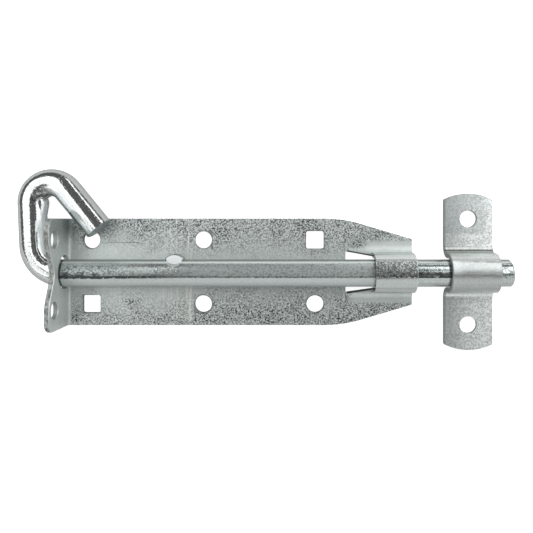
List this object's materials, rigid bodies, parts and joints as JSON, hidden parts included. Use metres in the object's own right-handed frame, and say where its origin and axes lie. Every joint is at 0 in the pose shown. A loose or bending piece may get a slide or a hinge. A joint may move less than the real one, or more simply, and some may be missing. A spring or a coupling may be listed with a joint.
{
  "type": "padbolt",
  "caption": "Plated steel padbolt: a round bar with a hooked handle in a folded backplate with eared flange and pressed guide, and a strap keep.",
  "frame": {"origin": "on the backplate's back face, at the centre of its six fixing holes, under the bar's axis", "axes": "+X along the bar towards the keep, +Y across the plate towards the handle's resting side, +Z out of the mounting face"},
  "size_m": [0.289, 0.1079, 0.033],
  "materials": {
    "plate_steel": "dull mottled zinc plating on pressed sheet",
    "bar_steel": "bright zinc plating on drawn round bar",
    "keep_steel": "satin zinc plating on pressed strap"
  },
  "bodies": {
    "plate": {"backplate": "plate_steel", "keep": "keep_steel"},
    "bar": {"bolt": "bar_steel"}
  },
  "joints": [
    {"name": "bolt_turn", "type": "hinge", "parent": "plate", "child": "bar", "pos_m": [0, 0, 0.0113], "axis": [1, 0, 0], "range_deg": [0, 180]}
  ]
}
